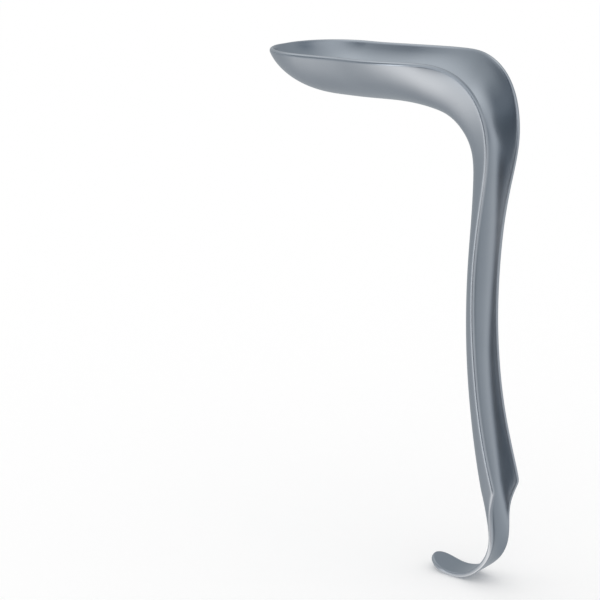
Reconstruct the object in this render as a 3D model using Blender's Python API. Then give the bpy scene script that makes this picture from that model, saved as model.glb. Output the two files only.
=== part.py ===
"""Single-ended vaginal speculum: a trough blade, a channel handle and a finger hook in satin steel sheet.

One spine runs along the outside of the sheet, from the blade's nose, round the heel, down the handle
and round the hook. The sheet is lofted along it from arc sections and given its thickness and its
rounded lips. Blade, handle and hook are pressed apart and butt-welded, so each is cut square at its seam.

Frame: metres, +Z up the handle, blade towards -X, symmetric about Y = 0. The origin is on the back of
the handle at its waist, where a hand holds it.
"""
import math

import bmesh
import bpy
import numpy as np
from mathutils import Matrix, Vector

# sheet and weld seams
SHEET = 0.0016
LIP_ROUND = 0.0006
SEAM_GAP = 0.0003

# widths over the sheet, and depths from lip to back
NOSE_WIDTH = 0.0408
NOSE_DEPTH = 0.0145
BLADE_WIDTH = 0.0420
BLADE_DEPTH = 0.0148
BLADE_ROOT_WIDTH = 0.0425
BLADE_ROOT_DEPTH = 0.0152
HEEL_TOP_WIDTH = 0.0352
HEEL_TOP_DEPTH = 0.0168
HEEL_WIDTH = 0.0264
HEEL_DEPTH = 0.0169
HEEL_FOOT_WIDTH = 0.0197
HEEL_FOOT_DEPTH = 0.0113
NECK_WIDTH = 0.0168
NECK_DEPTH = 0.0077
GRIP_WIDTH = 0.0159
GRIP_DEPTH = 0.0055
WAIST_WIDTH = 0.0151
WAIST_DEPTH = 0.0060
LOWER_GRIP_WIDTH = 0.0155
LOWER_GRIP_DEPTH = 0.0068
FLARE_WIDTH = 0.0162
FLARE_DEPTH = 0.0080
SHOULDER_WIDTH = 0.0161
SHOULDER_DEPTH = 0.0085
STRIP_WIDTH = 0.0124
HOOK_WIDTH = 0.0102

# nose of the blade, in plan and in side view
NOSE_LENGTH = 0.0225
BOW_LENGTH = 0.0294
BOW_START = 2.3
BOW_END = 1.45

# places along the back of the sheet, as (x, z)
NOSE_CENTRE = (-0.0570, 0.0794)
BLADE_MIDDLE = (-0.0380, 0.0791)
BLADE_ROOT = (-0.0185, 0.0788)
HEEL_TOP = (-0.0103, 0.0774)
HEEL = (-0.0045, 0.0753)
HEEL_FOOT = (0.0018, 0.0679)
NECK = (0.0029, 0.0563)
GRIP = (0.0008, 0.0292)
WAIST = (0.0, 0.0)
LOWER_GRIP = (0.0020, -0.0245)
FLARE = (0.0049, -0.0425)
SHOULDER = (0.0062, -0.0490)
STRIP = (0.0081, -0.0583)
HOOK_START = (0.0092, -0.0692)

BLADE_SLOPE = math.radians(0.8)
HOOK_LEAN = math.radians(10.6)
HOOK_RADIUS = 0.0146
HOOK_SWEEP = math.radians(105.4)
PADDLE_LENGTH = 0.0039
PADDLE_ROUND = 0.0075

# how the shoulders fall away, and how the channel flattens and narrows into the strip
SHOULDER_FALL = 0.0218
SHOULDER_EASE = 3.9
SHOULDER_CUT = 0.30
FLATTEN_LENGTH = 0.0292
FLATTEN_EASE = 1.25
TAPER_LENGTH = 0.0360

# steel colours and the roughness of bead-blasted steel
BLADE_COLOUR = (0.36, 0.38, 0.41, 1.0)
HANDLE_COLOUR = (0.34, 0.36, 0.39, 1.0)
HOOK_COLOUR = (0.33, 0.35, 0.39, 1.0)
SATIN = 0.42

# mesh fineness, and what the seams' cutters measure
ACROSS = 16
NOSE_ROWS = 8
PADDLE_ROWS = 5
BLADE_STEP = 0.0048
HEEL_STEP = 0.0022
HANDLE_STEP = 0.0052
SHOULDER_STEP = 0.0012
HOOK_STEP = 0.0022
HEADING_STEP = 0.00002
OVERRUN = 0.0012
CUTTER_LENGTH = 0.0036
CUTTER_SIDE = 0.0300

# a flat section still bows by this share of its half width, so that its arc has a radius
LEAST_BOW = 1e-4
# keeps the nose's centre from dividing by nothing
TINY = 1e-6

PLACES = (NOSE_CENTRE, BLADE_MIDDLE, BLADE_ROOT, HEEL_TOP, HEEL, HEEL_FOOT, NECK,
          GRIP, WAIST, LOWER_GRIP, FLARE, SHOULDER, STRIP, HOOK_START)
WIDTHS = (NOSE_WIDTH, BLADE_WIDTH, BLADE_ROOT_WIDTH, HEEL_TOP_WIDTH, HEEL_WIDTH, HEEL_FOOT_WIDTH,
          NECK_WIDTH, GRIP_WIDTH, WAIST_WIDTH, LOWER_GRIP_WIDTH, FLARE_WIDTH, SHOULDER_WIDTH)
DEPTHS = (NOSE_DEPTH, BLADE_DEPTH, BLADE_ROOT_DEPTH, HEEL_TOP_DEPTH, HEEL_DEPTH, HEEL_FOOT_DEPTH,
          NECK_DEPTH, GRIP_DEPTH, WAIST_DEPTH, LOWER_GRIP_DEPTH, FLARE_DEPTH, SHOULDER_DEPTH)


def curve_through(knots, values, first_slope=None, last_slope=None):
    """Cubic spline with even curvature through the values, free or set in slope at its two ends."""
    knots, values = np.array(knots), np.array(values)
    steps = np.diff(knots)
    slopes = np.diff(values) / steps
    count = len(knots)
    matrix, right = np.zeros((count, count)), np.zeros(count)
    for i in range(1, count - 1):
        matrix[i, i - 1:i + 2] = steps[i - 1], 2 * (steps[i - 1] + steps[i]), steps[i]
        right[i] = 6 * (slopes[i] - slopes[i - 1])
    matrix[0, 0] = matrix[-1, -1] = 1.0
    if first_slope is not None:
        matrix[0, :2] = 2 * steps[0], steps[0]
        right[0] = 6 * (slopes[0] - first_slope)
    if last_slope is not None:
        matrix[-1, -2:] = steps[-1], 2 * steps[-1]
        right[-1] = 6 * (last_slope - slopes[-1])
    bends = np.linalg.solve(matrix, right)

    def at(s):
        i = int(np.clip(np.searchsorted(knots, s) - 1, 0, count - 2))
        back, on = (knots[i + 1] - s) / steps[i], (s - knots[i]) / steps[i]
        swing = ((back ** 3 - back) * bends[i] + (on ** 3 - on) * bends[i + 1]) * steps[i] ** 2 / 6
        return back * values[i] + on * values[i + 1] + swing

    return at


def stations():
    """How far along the spine each place lies, from the nose's centre."""
    along = [0.0]
    for before, after in zip(PLACES, PLACES[1:]):
        along.append(along[-1] + math.dist(before, after))
    return along


STATIONS = stations()
BLADE_ROOT_S = STATIONS[PLACES.index(BLADE_ROOT)]
NECK_S = STATIONS[PLACES.index(NECK)]
SHOULDER_S = STATIONS[PLACES.index(SHOULDER)]
STRIP_S = STATIONS[PLACES.index(STRIP)]
HOOK_S = STATIONS[-1]
PADDLE_S = HOOK_S + HOOK_RADIUS * HOOK_SWEEP
PADDLE_CENTRE_S = PADDLE_S + PADDLE_LENGTH - PADDLE_ROUND

BLADE_HEADING = Vector((math.cos(BLADE_SLOPE), 0.0, -math.sin(BLADE_SLOPE)))
HOOK_HEADING = Vector((-math.sin(HOOK_LEAN), 0.0, -math.cos(HOOK_LEAN)))
HOOK_INWARD = Vector((-math.cos(HOOK_LEAN), 0.0, math.sin(HOOK_LEAN)))

spine_x = curve_through(STATIONS, [x for x, z in PLACES], BLADE_HEADING.x, HOOK_HEADING.x)
spine_z = curve_through(STATIONS, [z for x, z in PLACES], BLADE_HEADING.z, HOOK_HEADING.z)
channel_width = curve_through(STATIONS[:len(WIDTHS)], WIDTHS, 0.0)
channel_depth = curve_through(STATIONS[:len(DEPTHS)], DEPTHS, 0.0)


def spine(s):
    """The spine's point and heading at s: straight before the nose's centre, an arc round the hook."""
    if s < 0.0:
        return Vector((NOSE_CENTRE[0], 0.0, NOSE_CENTRE[1])) + BLADE_HEADING * s, BLADE_HEADING
    if s <= HOOK_S:
        low, high = max(s - HEADING_STEP, 0.0), min(s + HEADING_STEP, HOOK_S)
        heading = Vector((spine_x(high) - spine_x(low), 0.0, spine_z(high) - spine_z(low)))
        return Vector((spine_x(s), 0.0, spine_z(s))), heading.normalized()
    turned = min((s - HOOK_S) / HOOK_RADIUS, HOOK_SWEEP)
    centre = Vector((HOOK_START[0], 0.0, HOOK_START[1])) + HOOK_INWARD * HOOK_RADIUS
    heading = HOOK_HEADING * math.cos(turned) + HOOK_INWARD * math.sin(turned)
    rim = (HOOK_HEADING * math.sin(turned) - HOOK_INWARD * math.cos(turned)) * HOOK_RADIUS
    return centre + rim + heading * max(s - PADDLE_S, 0.0), heading


def ease(t):
    t = min(max(t, 0.0), 1.0)
    return t * t * (3.0 - 2.0 * t)


def share_past_shoulder(s, length, power):
    """Rises from nothing at the shoulders to 1 a length further on, fast at first."""
    ahead = min(max(1.0 - (s - SHOULDER_S) / length, 0.0), 1.0)
    return 1.0 - ahead ** power


def half_width(s):
    """Half of the sheet's width over its lips."""
    fallen = share_past_shoulder(s, SHOULDER_FALL, SHOULDER_EASE)
    strip = STRIP_WIDTH + (HOOK_WIDTH - STRIP_WIDTH) * ease((s - SHOULDER_S) / TAPER_LENGTH)
    channel = channel_width(min(max(s, 0.0), SHOULDER_S))
    return (channel + (strip - channel) * fallen) / 2.0


def lip_height(s):
    """How far the lips stand over the back of the sheet."""
    fallen = share_past_shoulder(s, SHOULDER_FALL, SHOULDER_EASE)
    flattened = share_past_shoulder(s, FLATTEN_LENGTH, FLATTEN_EASE)
    kept = 1.0 - SHOULDER_CUT * fallen - (1.0 - SHOULDER_CUT) * flattened
    return channel_depth(min(max(s, 0.0), SHOULDER_S)) * kept


def bow(s):
    """Share of the blade's depth that is left at s, nothing at the tip and all of it past the bow."""
    ahead = min(max(1.0 - (s + NOSE_LENGTH) / BOW_LENGTH, 0.0), 1.0)
    return (1.0 - ahead ** BOW_START) ** (1.0 / BOW_END)


def on_sheet(s, y, height):
    """Point over the spine at s, at height towards the open side of the channel."""
    point, heading = spine(s)
    return point + Vector((-heading.z, 0.0, heading.x)) * height + Vector((0.0, y, 0.0))


def section(s):
    """One arc across the sheet at s, from the -Y lip to the +Y lip."""
    half, lip = half_width(s), lip_height(s)
    depth = max(lip * bow(s), half * LEAST_BOW)
    angle = 2.0 * math.atan(depth / half)
    radius = half / math.sin(angle)
    row = []
    for i in range(ACROSS + 1):
        turn = angle * (2.0 * i / ACROSS - 1.0)
        row.append(on_sheet(s, radius * math.sin(turn), lip - depth + radius * (1.0 - math.cos(turn))))
    return row


def disc(u, v):
    """Square grid on a round end, so that the end closes with no pole."""
    return u * math.sqrt(1.0 - v * v / 2.0), v * math.sqrt(1.0 - u * u / 2.0)


def nose_row(u):
    """Row across the nose, from its centre line at u = 0 to the tip's rim at u = 1."""
    half, lip = half_width(0.0), lip_height(0.0)
    angle = 2.0 * math.atan(lip * bow(0.0) / half)
    row = []
    for i in range(ACROSS + 1):
        x, y = disc(u, 2.0 * i / ACROSS - 1.0)
        reach = max(math.hypot(x, y), TINY)
        spread = math.sin(min(reach, 1.0) * angle) / math.sin(angle) / reach
        x, y = x * spread, y * spread
        share = min(abs(y) / max(math.sqrt(max(1.0 - x * x, 0.0)), TINY), 1.0)
        fall = (math.cos(math.asin(share * math.sin(angle))) - math.cos(angle)) / (1.0 - math.cos(angle))
        s = -NOSE_LENGTH * x
        row.append(on_sheet(s, half * y, lip - lip * bow(s) * fall))
    return row


def paddle_row(u):
    """Row across the paddle's round end."""
    half = half_width(PADDLE_CENTRE_S)
    row = []
    for i in range(ACROSS + 1):
        x, y = disc(u, 2.0 * i / ACROSS - 1.0)
        row.append(on_sheet(PADDLE_CENTRE_S + PADDLE_ROUND * x, half * y, 0.0))
    return row


def sections(start, stop, step):
    """Sections from start to stop, both included, no more than about a step apart."""
    count = max(math.ceil((stop - start) / step), 1)
    return [section(start + (stop - start) * i / count) for i in range(count + 1)]


def satin_steel(name, colour):
    material = bpy.data.materials.new(name)
    material.use_nodes = True
    shader = material.node_tree.nodes["Principled BSDF"]
    shader.inputs["Base Color"].default_value = colour
    shader.inputs["Metallic"].default_value = 1.0
    shader.inputs["Roughness"].default_value = SATIN
    return material


def sheet_object(name, rows, closed_first, closed_last, material):
    """Pressed sheet through the rows. A closed end is a lip, an open one is trimmed at its seam."""
    mesh = bpy.data.meshes.new(name)
    bm = bmesh.new()
    weight = bm.edges.layers.float.new("bevel_weight_edge")
    grid = [[bm.verts.new(point) for point in row] for row in rows]
    for before, after in zip(grid, grid[1:]):
        for i in range(ACROSS):
            bm.faces.new((before[i], before[i + 1], after[i + 1], after[i]))
        for side in (0, ACROSS):
            bm.edges.get((before[side], after[side]))[weight] = 1.0
    for row, closed in ((grid[0], closed_first), (grid[-1], closed_last)):
        if closed:
            for left, right in zip(row, row[1:]):
                bm.edges.get((left, right))[weight] = 1.0
    bm.to_mesh(mesh)
    bm.free()
    mesh.shade_smooth()
    mesh.materials.append(material)
    piece = bpy.data.objects.new(name, mesh)
    bpy.context.collection.objects.link(piece)

    gauge = piece.modifiers.new("gauge", "SOLIDIFY")
    gauge.thickness = SHEET
    gauge.offset = -1.0
    gauge.use_even_offset = True
    lips = piece.modifiers.new("lips", "BEVEL")
    lips.limit_method = "WEIGHT"
    lips.width = LIP_ROUND
    lips.segments = 2
    return piece


def trim(piece, s, side):
    """Cut the piece square at the seam at s. It keeps what lies before the seam (1) or after it (-1)."""
    point, heading = spine(s)
    across = Vector((0.0, 1.0, 0.0))
    normal = heading.cross(across)
    middle = point + heading * side * (CUTTER_LENGTH - SEAM_GAP) / 2.0
    turn = Matrix((heading, across, normal)).transposed().to_4x4()
    size = Matrix.Diagonal((CUTTER_LENGTH, CUTTER_SIDE, CUTTER_SIDE, 1.0))
    mesh = bpy.data.meshes.new(piece.name + "_trim")
    bm = bmesh.new()
    bmesh.ops.create_cube(bm, size=1.0, matrix=Matrix.Translation(middle) @ turn @ size)
    bm.to_mesh(mesh)
    bm.free()
    cutter = bpy.data.objects.new(mesh.name, mesh)
    bpy.context.collection.objects.link(cutter)
    cutter.hide_render = True
    cutter.display_type = "WIRE"
    cut = piece.modifiers.new("seam", "BOOLEAN")
    cut.operation = "DIFFERENCE"
    cut.object = cutter


def make_blade():
    """Boat-nosed trough with the heel, down to the neck."""
    rows = [nose_row(1.0 - i / NOSE_ROWS) for i in range(NOSE_ROWS)]
    rows += sections(0.0, BLADE_ROOT_S, BLADE_STEP)[:-1]
    rows += sections(BLADE_ROOT_S, NECK_S + OVERRUN, HEEL_STEP)
    blade = sheet_object("blade", rows, True, False, satin_steel("blade_steel", BLADE_COLOUR))
    trim(blade, NECK_S, 1)


def make_handle():
    """Channel handle from the neck to the foot of the shoulders."""
    rows = sections(NECK_S - OVERRUN, SHOULDER_S, HANDLE_STEP)[:-1]
    rows += sections(SHOULDER_S, STRIP_S + OVERRUN, SHOULDER_STEP)
    handle = sheet_object("handle", rows, False, False, satin_steel("handle_steel", HANDLE_COLOUR))
    trim(handle, NECK_S, -1)
    trim(handle, STRIP_S, 1)


def make_finger_hook():
    """Strip that flattens below the shoulders, curls under the blade and ends in a round paddle."""
    rows = sections(STRIP_S - OVERRUN, PADDLE_CENTRE_S, HOOK_STEP)[:-1]
    rows += [paddle_row(i / PADDLE_ROWS) for i in range(PADDLE_ROWS + 1)]
    hook = sheet_object("finger_hook", rows, False, True, satin_steel("hook_steel", HOOK_COLOUR))
    trim(hook, STRIP_S, -1)


for old in list(bpy.data.objects):
    bpy.data.objects.remove(old, do_unlink=True)
make_blade()
make_handle()
make_finger_hook()
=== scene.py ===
import math

import bpy
import numpy as np
from mathutils import Matrix, Vector


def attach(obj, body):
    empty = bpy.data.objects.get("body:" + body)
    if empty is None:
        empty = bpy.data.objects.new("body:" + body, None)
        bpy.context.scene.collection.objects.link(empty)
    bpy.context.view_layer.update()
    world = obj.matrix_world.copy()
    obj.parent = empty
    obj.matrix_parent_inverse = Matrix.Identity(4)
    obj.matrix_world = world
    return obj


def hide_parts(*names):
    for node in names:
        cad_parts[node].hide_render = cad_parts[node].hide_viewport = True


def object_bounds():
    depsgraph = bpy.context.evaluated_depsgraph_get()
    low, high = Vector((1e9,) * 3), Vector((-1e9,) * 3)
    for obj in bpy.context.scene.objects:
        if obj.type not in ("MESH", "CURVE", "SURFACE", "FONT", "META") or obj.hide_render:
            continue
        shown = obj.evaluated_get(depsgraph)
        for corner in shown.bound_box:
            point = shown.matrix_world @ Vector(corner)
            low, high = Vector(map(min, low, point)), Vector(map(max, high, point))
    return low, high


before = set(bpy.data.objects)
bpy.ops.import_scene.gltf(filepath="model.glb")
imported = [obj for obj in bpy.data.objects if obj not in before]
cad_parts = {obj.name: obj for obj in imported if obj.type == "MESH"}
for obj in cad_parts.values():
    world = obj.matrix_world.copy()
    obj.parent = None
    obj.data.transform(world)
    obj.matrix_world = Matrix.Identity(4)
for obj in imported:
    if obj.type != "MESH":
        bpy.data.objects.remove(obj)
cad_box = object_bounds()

# Blade: the trough that is put to use, with a boat-shaped nose and a heel that turns down into the neck.
# Pressed from one gauge of stainless steel sheet. It starts as a flat blank and is laid on its sections.
SHEET = 0.0016

# widths over the sheet, depths from lip to back, and places along the back as (x, z), nose to shoulders
WIDTHS = (0.0408, 0.0420, 0.0425, 0.0352, 0.0264, 0.0197, 0.0168, 0.0159, 0.0151, 0.0155, 0.0162, 0.0161)
DEPTHS = (0.0145, 0.0148, 0.0152, 0.0168, 0.0169, 0.0113, 0.0077, 0.0055, 0.0060, 0.0068, 0.0080, 0.0085)
BLADE_PLACES = ((-0.0570, 0.0794), (-0.0380, 0.0791), (-0.0185, 0.0788))
HEEL_PLACES = ((-0.0103, 0.0774), (-0.0045, 0.0753), (0.0018, 0.0679), (0.0029, 0.0563))
HANDLE_PLACES = ((0.0008, 0.0292), (0.0, 0.0), (0.0020, -0.0245), (0.0049, -0.0425), (0.0062, -0.0490))
HOOK_PLACES = ((0.0081, -0.0583), (0.0092, -0.0692))
PLACES = BLADE_PLACES + HEEL_PLACES + HANDLE_PLACES + HOOK_PLACES

# the blade's slope at its nose, the nose ahead of the first place, and the bow over which the blade gains
# its depth, with the powers of its curve at start and end
BLADE_SLOPE = math.radians(0.8)
NOSE_LENGTH = 0.0225
BOW_LENGTH = 0.0294
BOW_START = 2.3
BOW_END = 1.45

# the handle's walls are straighter than an arc, and at most this steep at their lips
WALL_SLOPE = math.radians(74.0)

# shoulders that fall away, and the channel flattening and narrowing into the strip of the hook
SHOULDER_FALL = 0.0218
SHOULDER_EASE = 3.9
SHOULDER_CUT = 0.30
SHOULDER_ROUND = 0.0011
FLATTEN_LENGTH = 0.0292
FLATTEN_EASE = 1.25
TAPER_LENGTH = 0.0360
STRIP_WIDTH = 0.0124
HOOK_WIDTH = 0.0102
HOOK_LEAN = math.radians(10.6)
HOOK_RADIUS = 0.0146
HOOK_SWEEP = math.radians(105.4)

# how far in from a lip the sheet is ground, where in its gauge the lip's crest then lies, and how far the
# lips of blade and handle are drawn up to make good what is ground off
LIP_REACH = 0.0012
HOOK_LIP_REACH = 0.0004
LIP_CREST = 0.32
LIP_DRAW = 0.0003

# how finely the sheet is drawn, and the least values that its sums can divide by
LIP_ROWS = 8
NOSE_ROWS = 24
ACROSS = 48
CURVE_POINTS = 97
BLADE_STEP = 0.0010
BEND_STEP = 0.0006
HEADING_STEP = 0.00002
LEAST_BOW = 1e-4
TINY = 1e-6
SMOOTH_ANGLE = math.radians(40.0)


def curve_through(knots, values, first_slope=None, last_slope=None):
    """Cubic spline with even curvature through the values, free or set in slope at its two ends."""
    knots, values = np.array(knots), np.array(values)
    steps = np.diff(knots)
    slopes = np.diff(values) / steps
    count = len(knots)
    matrix, right = np.zeros((count, count)), np.zeros(count)
    for i in range(1, count - 1):
        matrix[i, i - 1:i + 2] = steps[i - 1], 2 * (steps[i - 1] + steps[i]), steps[i]
        right[i] = 6 * (slopes[i] - slopes[i - 1])
    matrix[0, 0] = matrix[-1, -1] = 1.0
    if first_slope is not None:
        matrix[0, :2] = 2 * steps[0], steps[0]
        right[0] = 6 * (slopes[0] - first_slope)
    if last_slope is not None:
        matrix[-1, -2:] = steps[-1], 2 * steps[-1]
        right[-1] = 6 * (last_slope - slopes[-1])
    bends = np.linalg.solve(matrix, right)

    def at(s):
        i = int(np.clip(np.searchsorted(knots, s) - 1, 0, count - 2))
        back, on = (knots[i + 1] - s) / steps[i], (s - knots[i]) / steps[i]
        swing = ((back ** 3 - back) * bends[i] + (on ** 3 - on) * bends[i + 1]) * steps[i] ** 2 / 6
        return back * values[i] + on * values[i + 1] + swing

    return at


stations = [0.0]
for before, after in zip(PLACES, PLACES[1:]):
    stations.append(stations[-1] + math.dist(before, after))
BLADE_ROOT_S = stations[len(BLADE_PLACES) - 1]
NECK_S = stations[len(BLADE_PLACES + HEEL_PLACES) - 1]
SHOULDER_S = stations[len(WIDTHS) - 1]
STRIP_S = stations[-2]
HOOK_S = stations[-1]
PADDLE_S = HOOK_S + HOOK_RADIUS * HOOK_SWEEP

blade_heading = Vector((math.cos(BLADE_SLOPE), 0.0, -math.sin(BLADE_SLOPE)))
hook_heading = Vector((-math.sin(HOOK_LEAN), 0.0, -math.cos(HOOK_LEAN)))
hook_inward = Vector((-math.cos(HOOK_LEAN), 0.0, math.sin(HOOK_LEAN)))
spine_x = curve_through(stations, [x for x, z in PLACES], blade_heading.x, hook_heading.x)
spine_z = curve_through(stations, [z for x, z in PLACES], blade_heading.z, hook_heading.z)
channel_width = curve_through(stations[:len(WIDTHS)], WIDTHS, 0.0)
channel_depth = curve_through(stations[:len(DEPTHS)], DEPTHS, 0.0)


def spine(s):
    """The back's point and heading at s: straight before the nose's centre, an arc round the hook."""
    if s < 0.0:
        return Vector((PLACES[0][0], 0.0, PLACES[0][1])) + blade_heading * s, blade_heading
    if s <= HOOK_S:
        low, high = max(s - HEADING_STEP, 0.0), min(s + HEADING_STEP, HOOK_S)
        heading = Vector((spine_x(high) - spine_x(low), 0.0, spine_z(high) - spine_z(low)))
        return Vector((spine_x(s), 0.0, spine_z(s))), heading.normalized()
    turned = min((s - HOOK_S) / HOOK_RADIUS, HOOK_SWEEP)
    centre = Vector((PLACES[-1][0], 0.0, PLACES[-1][1])) + hook_inward * HOOK_RADIUS
    heading = hook_heading * math.cos(turned) + hook_inward * math.sin(turned)
    rim = (hook_heading * math.sin(turned) - hook_inward * math.cos(turned)) * HOOK_RADIUS
    return centre + rim + heading * max(s - PADDLE_S, 0.0), heading


def ease(t):
    """Rises smoothly from 0 to 1 as t does, and is level before and after."""
    t = min(max(t, 0.0), 1.0)
    return t * t * (3.0 - 2.0 * t)


def share_past_shoulder(s, length, power):
    """Rises from nothing at the rounded shoulders to 1 a length further on, fast at first."""
    past = (s - SHOULDER_S + math.hypot(s - SHOULDER_S, SHOULDER_ROUND)) / 2.0
    return 1.0 - max(1.0 - past / length, 0.0) ** power


def half_width(s):
    """Half of the sheet's width over its lips."""
    fallen = share_past_shoulder(s, SHOULDER_FALL, SHOULDER_EASE)
    strip = STRIP_WIDTH + (HOOK_WIDTH - STRIP_WIDTH) * ease((s - SHOULDER_S) / TAPER_LENGTH)
    channel = channel_width(min(max(s, 0.0), SHOULDER_S))
    return (channel + (strip - channel) * fallen) / 2.0


def lip_height(s):
    """How far the lips stand over the back of the sheet."""
    fallen = share_past_shoulder(s, SHOULDER_FALL, SHOULDER_EASE)
    flattened = share_past_shoulder(s, FLATTEN_LENGTH, FLATTEN_EASE)
    kept = 1.0 - SHOULDER_CUT * fallen - (1.0 - SHOULDER_CUT) * flattened
    return channel_depth(min(max(s, 0.0), SHOULDER_S)) * kept


def bow(s):
    """Share of the blade's depth that is left at s, nothing at the tip and all of it past the bow."""
    ahead = min(max(1.0 - (s + NOSE_LENGTH) / BOW_LENGTH, 0.0), 1.0)
    return (1.0 - ahead ** BOW_START) ** (1.0 / BOW_END)


def on_sheet(place, y, height):
    """Point beside a place of the spine, at a height towards the open side of the channel."""
    point, heading = place
    return point + Vector((-heading.z * height, y, heading.x * height))


def lip_at(s):
    """How far in from its lip the sheet is ground at s, and how far the lip is drawn up.

    The grinding is long on blade and handle. On the hook it only takes the corners off the edge.
    """
    on_hook = ease((s - SHOULDER_S) / (STRIP_S - SHOULDER_S))
    return LIP_REACH + (HOOK_LIP_REACH - LIP_REACH) * on_hook, LIP_DRAW * (1.0 - on_hook)


def lip_rows(reach):
    """Distances from the lip at which a ground lip has its rows, from its inner limit out to the lip."""
    return [reach * (1.0 - math.sin(row / LIP_ROWS * math.pi / 2.0)) for row in range(LIP_ROWS + 1)]


def wall_slope(s, angle):
    """How steep the walls are at their lips: as an arc is on the blade, and WALL_SLOPE at most below it."""
    return angle + (min(angle, WALL_SLOPE) - angle) * ease((s - BLADE_ROOT_S) / (NECK_S - BLADE_ROOT_S))


def wall_curve(half, depth, slope):
    """Half of a section: points out and up from the middle of its back, and how far along it each lies.

    It is a conic, level at the back and as steep as the wall at the lip. In its middle it meets the arc
    through the back and both lips, and where the wall is as steep as that arc, it is the arc.
    """
    corner = half - depth / math.tan(slope)
    square = (half ** 2 + depth ** 2) / 4.0
    spread = corner ** 2 - corner * half + square
    pull = (math.sqrt((half * corner) ** 2 / 4.0 + spread * square) - half * corner / 2.0) / spread
    t = np.linspace(0.0, 1.0, CURVE_POINTS)
    weights = np.array([(1.0 - t) ** 2, 2.0 * t * (1.0 - t) * pull / (1.0 - pull), t * t])
    weights /= weights.sum(axis=0)
    out, up = weights[1] * corner + weights[2] * half, weights[2] * depth
    along = np.concatenate([[0.0], np.cumsum(np.hypot(np.diff(out), np.diff(up)))])
    return out, up, along


def section(s):
    """How far its lips are ground at s, and a row of points across the sheet, from -Y lip to +Y lip."""
    place, half, lip = spine(s), half_width(s), lip_height(s)
    depth = max(lip * bow(s), half * LEAST_BOW)
    slope = wall_slope(s, 2.0 * math.atan(depth / half))
    out, up, along = wall_curve(half, depth, slope)
    girth = along[-1]

    reach, draw = lip_at(s)
    plain = 1.0 - reach / girth
    shares = [plain * (2.0 * i / ACROSS - 1.0) for i in range(1, ACROSS)]
    ground = [1.0 + (draw - distance) / girth for distance in lip_rows(reach)]
    row = []
    for share in [-outer for outer in reversed(ground)] + shares + ground:
        length = abs(share) * girth
        past = max(length - girth, 0.0)
        across = np.interp(length, along, out) + past * math.cos(slope)
        height = np.interp(length, along, up) + past * math.sin(slope)
        row.append(on_sheet(place, math.copysign(across, share), lip - depth + height))
    return reach, row


def sections(start, stop, step):
    """Sections from start to stop, both included, no more than a step apart."""
    count = max(math.ceil((stop - start) / step), 1)
    return [section(start + (stop - start) * i / count) for i in range(count + 1)]


def round_end(rows, length, half, reach):
    """Rows of a round end, as shares (x, y) of its length and half width, from its middle to its lip.

    They are a square grid drawn out to a circle, so that the end has no pole, with the lip's rows round it.
    """
    ground = lip_rows(reach)
    columns = [(-1.0, distance) for distance in reversed(ground)]
    columns += [(2.0 * i / ACROSS - 1.0, reach) for i in range(1, ACROSS)]
    columns += [(1.0, distance) for distance in ground]
    outward = [(row / rows, reach) for row in range(rows)] + [(1.0, distance) for distance in ground]
    ends = []
    for u, from_end in outward:
        shares = []
        for v, from_side in columns:
            distance = min(from_end, from_side)
            shares.append((u * math.sqrt(1.0 - v * v / 2.0) * (1.0 - distance / length),
                           v * math.sqrt(1.0 - u * u / 2.0) * (1.0 - distance / half)))
        ends.append(shares)
    return ends


# the section at the nose's root: its half width, lip height, and the half angle and half girth of its arc
ROOT_HALF, ROOT_LIP = half_width(0.0), lip_height(0.0)
ROOT_ANGLE = 2.0 * math.atan(ROOT_LIP * bow(0.0) / ROOT_HALF)
ROOT_GIRTH = ROOT_HALF / math.sin(ROOT_ANGLE) * ROOT_ANGLE


def nose_row(shares):
    """Row across the nose: the arc of the section at its root, swept forward and drawn up to the tip."""
    level, steep = math.cos(ROOT_ANGLE), math.sin(ROOT_ANGLE)
    row = []
    for x, y in shares:
        reach = max(math.hypot(x, y), TINY)
        draw = LIP_DRAW * max(1.0 - (1.0 - reach) * ROOT_GIRTH / LIP_REACH, 0.0)
        forward, aside = draw * level * x / reach, draw * level * y / reach
        spread = math.sin(min(reach, 1.0) * ROOT_ANGLE) / steep / reach
        x, y = x * spread, y * spread
        share = min(abs(y) / max(math.sqrt(max(1.0 - x * x, 0.0)), TINY), 1.0)
        fall = (math.cos(math.asin(share * steep)) - level) / (1.0 - level)
        s = -NOSE_LENGTH * x
        height = ROOT_LIP - ROOT_LIP * bow(s) * fall + draw * steep
        row.append(on_sheet(spine(s - forward), ROOT_HALF * y + aside, height))
    return LIP_REACH, row


def merge_doubles():
    """Merges those points of the active piece that lie in one place."""
    bpy.ops.object.mode_set(mode="EDIT")
    bpy.ops.mesh.select_all(action="SELECT")
    bpy.ops.mesh.remove_doubles(threshold=TINY)
    bpy.ops.object.mode_set(mode="OBJECT")


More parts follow.
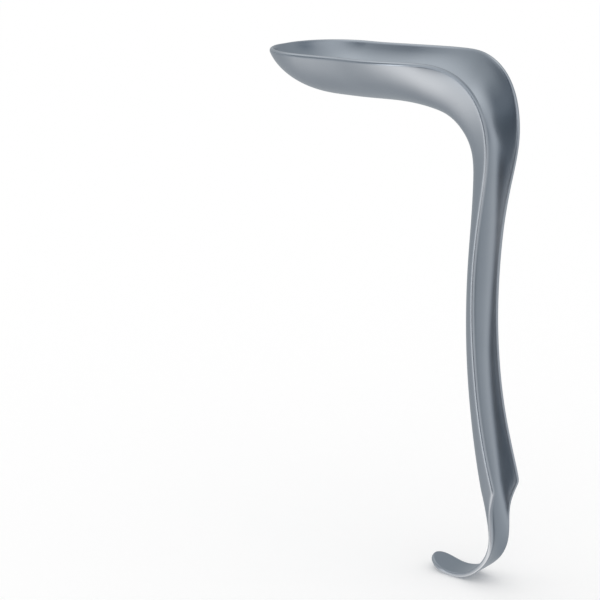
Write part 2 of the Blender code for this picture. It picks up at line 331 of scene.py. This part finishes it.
def pressed_sheet(name, rows, starts_in_lip, ends_in_lip):
    """A flat blank, laid on the rows of a pressing, given the sheet's gauge, and ground down to its lips."""
    bpy.ops.object.select_all(action="DESELECT")
    reaches = np.array([reach for reach, _ in rows])
    places = np.array([[tuple(point) for point in row] for _, row in rows])
    last_row, last_column = places.shape[0] - 1, places.shape[1] - 1
    bpy.ops.mesh.primitive_grid_add(x_subdivisions=last_row, y_subdivisions=last_column, size=1.0)
    piece = bpy.context.object
    piece.name = piece.data.name = name
    flat = np.array([vertex.co[:2] for vertex in piece.data.vertices]) + 0.5
    along = np.rint(flat[:, 0] * last_row).astype(int)
    across = np.rint(flat[:, 1] * last_column).astype(int)
    piece.data.vertices.foreach_set("co", places[along, across].ravel())

    # the distance to the nearest lip, and the distance over which the lip is ground there
    lips = [places[:, 0], places[:, -1]] + [places[0]] * starts_in_lip + [places[-1]] * ends_in_lip
    rim = np.concatenate(lips)
    from_lip = [np.min(np.linalg.norm(rim - place, axis=1)) for place in places[along, across]]
    for attribute, values in (("from_lip", from_lip), ("lip_reach", reaches[along])):
        piece.data.attributes.new(attribute, "FLOAT", "POINT").data.foreach_set("value", values)

    # a round end's corners each have many points in one place
    merge_doubles()
    gauge = piece.modifiers.new("gauge", "SOLIDIFY")
    gauge.thickness = SHEET
    gauge.offset = 1.0
    gauge.use_even_offset = True
    bpy.ops.object.modifier_apply(modifier="gauge")

    # back and face come together in half an ellipse at the lip, whose crest lies inside the thickness
    count = len(piece.data.vertices) // 2
    ends = np.empty(6 * count)
    piece.data.vertices.foreach_get("co", ends)
    back, face = ends.reshape(2, count, 3)
    distance, reach = np.empty(2 * count), np.empty(2 * count)
    piece.data.attributes["from_lip"].data.foreach_get("value", distance)
    piece.data.attributes["lip_reach"].data.foreach_get("value", reach)
    nearness = 1.0 - np.clip(distance[:count] / reach[:count], 0.0, 1.0)
    gauge_left = np.sqrt(1.0 - nearness * nearness)[:, None]
    crest = back + LIP_CREST * (face - back)
    ground = np.concatenate([crest + (back - crest) * gauge_left, crest + (face - crest) * gauge_left])
    piece.data.vertices.foreach_set("co", ground.ravel())
    merge_doubles()
    bpy.ops.object.shade_smooth_by_angle(angle=SMOOTH_ANGLE)
    return piece


def hex_colour(code):
    """The linear colour of an sRGB hex value."""
    shares = [int(code[i:i + 2], 16) / 255.0 for i in (1, 3, 5)]
    return [c / 12.92 if c <= 0.04045 else ((c + 0.055) / 1.055) ** 2.4 for c in shares] + [1.0]


def add_node(tree, kind, settings, inputs):
    """Adds a node with its settings. Each input takes a value, or a socket that it is linked from."""
    node = tree.nodes.new(kind)
    for name, value in settings.items():
        setattr(node, name, value)
    for name, value in inputs.items():
        if isinstance(value, bpy.types.NodeSocket):
            tree.links.new(value, node.inputs[name])
        else:
            node.inputs[name].default_value = value
    return node


# Stainless steel, blasted with glass beads to an even satin: dull blue-grey, with soft broad highlights.
# Beads leave dimples of about 0.1 mm, drawn three times as coarse here so that they show at all. Its tone
# and roughness vary in faint clouds. The last of each lip is rubbed a little smoother, and it is painted a
# little paler: a painted highlight along the lips, together with their wear.
BEAD_GRAIN = 0.0003
BEAD_DEPTH = 0.000004
BEAD_DETAIL = 2.0
CLOUD_SIZE = 0.014
CLOUD_DETAIL = 4.0
LIP_BAND = 0.0005
SATIN_DARK, SATIN_PALE = "#878F98", "#9199A2"
SATIN_SMOOTH, SATIN_ROUGH = 0.26, 0.34
# the lips' paler colour is a painted highlight along them, as well as their rubbed wear
LIP_HIGHLIGHT_AND_WEAR_COLOUR = "#989FA7"
LIP_ROUGHNESS = 0.28

# a Mix node's sockets go by number, because those for values and for colours share their names
VALUE_A, VALUE_B, VALUE_OUT = 2, 3, 0
COLOUR_A, COLOUR_B, COLOUR_OUT = 6, 7, 2

steel = bpy.data.materials.new("bead_blasted_stainless_steel")
steel.use_nodes = True
tree = steel.node_tree
shader = tree.nodes["Principled BSDF"]
shader.inputs["Metallic"].default_value = 1.0
point = add_node(tree, "ShaderNodeTexCoord", {}, {}).outputs["Object"]
clouds = add_node(tree, "ShaderNodeTexNoise", {},
                  {"Vector": point, "Scale": 1.0 / CLOUD_SIZE, "Detail": CLOUD_DETAIL}).outputs["Fac"]
beads = add_node(tree, "ShaderNodeTexNoise", {},
                 {"Vector": point, "Scale": 1.0 / BEAD_GRAIN, "Detail": BEAD_DETAIL}).outputs["Fac"]
from_lip = add_node(tree, "ShaderNodeAttribute", {"attribute_name": "from_lip"}, {}).outputs["Fac"]
# band along the lips: it carries the painted highlight of their paler colour and their smoother, rubbed
# roughness
lip_wear_and_highlight = add_node(tree, "ShaderNodeMapRange", {"interpolation_type": "SMOOTHSTEP"},
                  {"Value": from_lip, "From Max": LIP_BAND, "To Min": 1.0, "To Max": 0.0}).outputs["Result"]
satin = add_node(tree, "ShaderNodeMix", {"data_type": "RGBA"},
                 {"Factor": clouds, COLOUR_A: hex_colour(SATIN_DARK), COLOUR_B: hex_colour(SATIN_PALE)})
# the lip band is painted paler than the satin: a painted highlight along the lips, together with their wear
steel_colour = add_node(tree, "ShaderNodeMix", {"data_type": "RGBA"},
                        {"Factor": lip_wear_and_highlight, COLOUR_A: satin.outputs[COLOUR_OUT],
                         COLOUR_B: hex_colour(LIP_HIGHLIGHT_AND_WEAR_COLOUR)})
tree.links.new(steel_colour.outputs[COLOUR_OUT], shader.inputs["Base Color"])
satin_roughness = add_node(tree, "ShaderNodeMapRange", {},
                           {"Value": clouds, "To Min": SATIN_SMOOTH, "To Max": SATIN_ROUGH})
roughness = add_node(tree, "ShaderNodeMix", {},
                     {"Factor": lip_wear_and_highlight, VALUE_A: satin_roughness.outputs["Result"], VALUE_B: LIP_ROUGHNESS})
tree.links.new(roughness.outputs[VALUE_OUT], shader.inputs["Roughness"])
dimples = add_node(tree, "ShaderNodeBump", {}, {"Height": beads, "Strength": 1.0, "Distance": BEAD_DEPTH})
tree.links.new(dimples.outputs["Normal"], shader.inputs["Normal"])

nose = round_end(NOSE_ROWS, ROOT_GIRTH, ROOT_GIRTH, LIP_REACH)
rows = [nose_row(shares) for shares in reversed(nose[1:])]
rows += sections(0.0, BLADE_ROOT_S, BLADE_STEP)[:-1]
rows += sections(BLADE_ROOT_S, NECK_S, BEND_STEP)
blade = pressed_sheet("blade_sheet", rows, True, False)
blade.data.materials.append(steel)
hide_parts("blade")
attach(blade, "root")

# Handle: a shallow channel in the same sheet, waisted where it is held, that ends in two shoulders.
# Its lips are ground round like the blade's, and it is blasted together with it.

# steps along the channel, finer from a little before the shoulders
HANDLE_STEP = 0.0012
SHOULDER_LEAD = 0.0040
SHOULDER_STEP = 0.0004

rows = sections(NECK_S, SHOULDER_S - SHOULDER_LEAD, HANDLE_STEP)[:-1]
rows += sections(SHOULDER_S - SHOULDER_LEAD, SHOULDER_S, SHOULDER_STEP)[:-1]
rows += sections(SHOULDER_S, STRIP_S, SHOULDER_STEP)
handle = pressed_sheet("handle_sheet", rows, False, False)
handle.data.materials.append(steel)
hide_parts("handle")
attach(handle, "root")

# Finger hook: the strip below the shoulders, curled under the blade and ended in a round flat paddle.
# The same sheet again, bent over a former, with the corners ground off its edge all round the end.

# how far the paddle goes on past the bend, and the length of its round end
PADDLE_LENGTH = 0.0039
PADDLE_ROUND = 0.0075
PADDLE_ROWS = 16
PADDLE_CENTRE_S = PADDLE_S + PADDLE_LENGTH - PADDLE_ROUND

paddle_half = half_width(PADDLE_CENTRE_S)
rows = sections(STRIP_S, PADDLE_CENTRE_S, BEND_STEP)
for shares in round_end(PADDLE_ROWS, PADDLE_ROUND, paddle_half, HOOK_LIP_REACH)[1:]:
    end_row = [on_sheet(spine(PADDLE_CENTRE_S + PADDLE_ROUND * x), paddle_half * y, 0.0) for x, y in shares]
    rows.append((HOOK_LIP_REACH, end_row))
hook = pressed_sheet("finger_hook_sheet", rows, False, True)
hook.data.materials.append(steel)
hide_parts("finger_hook")
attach(hook, "root")

# Studio: a plain white floor under the instrument, soft light all round, and the camera at the photograph's
# angle. The floor is left out of the steel's reflections, where the white of the room goes on below it.
FLOOR_SIZE = 6.0
WHITE = hex_colour("#FFFFFF")
bpy.ops.object.select_all(action="DESELECT")
bpy.ops.mesh.primitive_plane_add(size=FLOOR_SIZE, location=(0.0, 0.0, cad_box[0][2]))
floor = bpy.context.object
floor.name = "floor"
paper = bpy.data.materials.new("matt_white_paper")
paper.use_nodes = True
matt = paper.node_tree.nodes["Principled BSDF"].inputs
matt["Base Color"].default_value = WHITE
matt["Roughness"].default_value = 1.0
matt["Specular IOR Level"].default_value = 0.0
floor.data.materials.append(paper)
floor.visible_glossy = False

# What the steel mirrors: a pale room, with soft panels in it and dark cloths, each fading out at its edge.
# Each has its azimuth, elevation and breadth in degrees, its strength and its colour. Azimuth 0 is the -Y
# side and 90 degrees the +X side. A cloth takes light away, so its strength is negative.
PANELS = {
    "front_softbox": (-13.0, 3.0, 9.0, 3.8, "#FFFBF7"),
    "side_softbox": (24.0, 15.0, 30.0, 0.5, "#FFFBF7"),
    "low_reflector": (-5.0, -50.0, 25.0, 1.8, "#FFF0E2"),
    "top_softbox": (-64.0, 62.0, 22.0, 0.95, "#FFF8F0"),
    "cloth_beside_camera": (22.0, -13.0, 11.0, -2.4, "#FFF6EC"),
    "cloth_over_softbox": (-23.0, 21.0, 15.0, -1.4, "#FFF8F0"),
    "cloth_by_heel": (92.0, 40.0, 12.0, -0.5, "#FFF5E8"),
    "cloth_under_stand": (15.0, -84.0, 25.0, -0.55, "#FFF5E8"),
    "unlit_back_of_room": (-141.0, 11.0, 60.0, -0.3, "#FFF3EA"),
}
ROOM_LIGHT = 0.89
DARKEST = 0.03
world = bpy.data.worlds.new("studio")
bpy.context.scene.world = world
world.use_nodes = True
world.cycles.sampling_method = "NONE"
room = world.node_tree
direction = add_node(room, "ShaderNodeTexCoord", {}, {}).outputs["Generated"]
light = [ROOM_LIGHT] * 3
for azimuth, elevation, breadth, strength, colour in PANELS.values():
    azimuth, elevation, breadth = math.radians(azimuth), math.radians(elevation), math.radians(breadth)
    middle = (math.sin(azimuth) * math.cos(elevation), -math.cos(azimuth) * math.cos(elevation),
              math.sin(elevation))
    facing = add_node(room, "ShaderNodeVectorMath", {"operation": "DOT_PRODUCT"}, {0: direction, 1: middle})
    fade = add_node(room, "ShaderNodeMath", {"operation": "MULTIPLY_ADD"},
                    {0: facing.outputs["Value"], 1: breadth ** -2, 2: -breadth ** -2})
    share = add_node(room, "ShaderNodeMath", {"operation": "EXPONENT"}, {0: fade.outputs[0]})
    added = [strength * c for c in hex_colour(colour)[:3]]
    light = add_node(room, "ShaderNodeVectorMath", {"operation": "MULTIPLY_ADD"},
                     {0: share.outputs[0], 1: added, 2: light}).outputs[0]
light = add_node(room, "ShaderNodeVectorMath", {"operation": "MAXIMUM"},
                 {0: light, 1: [DARKEST] * 3}).outputs[0]
mirrored = add_node(room, "ShaderNodeLightPath", {}, {}).outputs["Is Glossy Ray"]
shown = add_node(room, "ShaderNodeMix", {"data_type": "RGBA"},
                 {"Factor": mirrored, COLOUR_A: WHITE, COLOUR_B: light})
room.links.new(shown.outputs[COLOUR_OUT], room.nodes["Background"].inputs["Color"])

# The camera stands 0.57 m from the handle, above it and rolled a little, with a long lens.
CAMERA_PLACE = Vector((0.31896, -0.44765, 0.16641))
CAMERA_AZIMUTH = math.radians(41.32)
CAMERA_ELEVATION = math.radians(15.31)
CAMERA_ROLL = math.radians(-1.52)
SENSOR = 36.0
FOCAL_LENGTH = 103.69
lens = bpy.data.cameras.new("camera")
lens.sensor_width = SENSOR
lens.lens = FOCAL_LENGTH
camera = bpy.data.objects.new("camera", lens)
bpy.context.collection.objects.link(camera)
aim = Matrix.Rotation(CAMERA_AZIMUTH, 4, "Z") @ Matrix.Rotation(math.pi / 2.0 - CAMERA_ELEVATION, 4, "X")
camera.matrix_world = Matrix.Translation(CAMERA_PLACE) @ aim @ Matrix.Rotation(CAMERA_ROLL, 4, "Z")
bpy.context.scene.camera = camera

bpy.context.scene.view_settings.view_transform = "Standard"
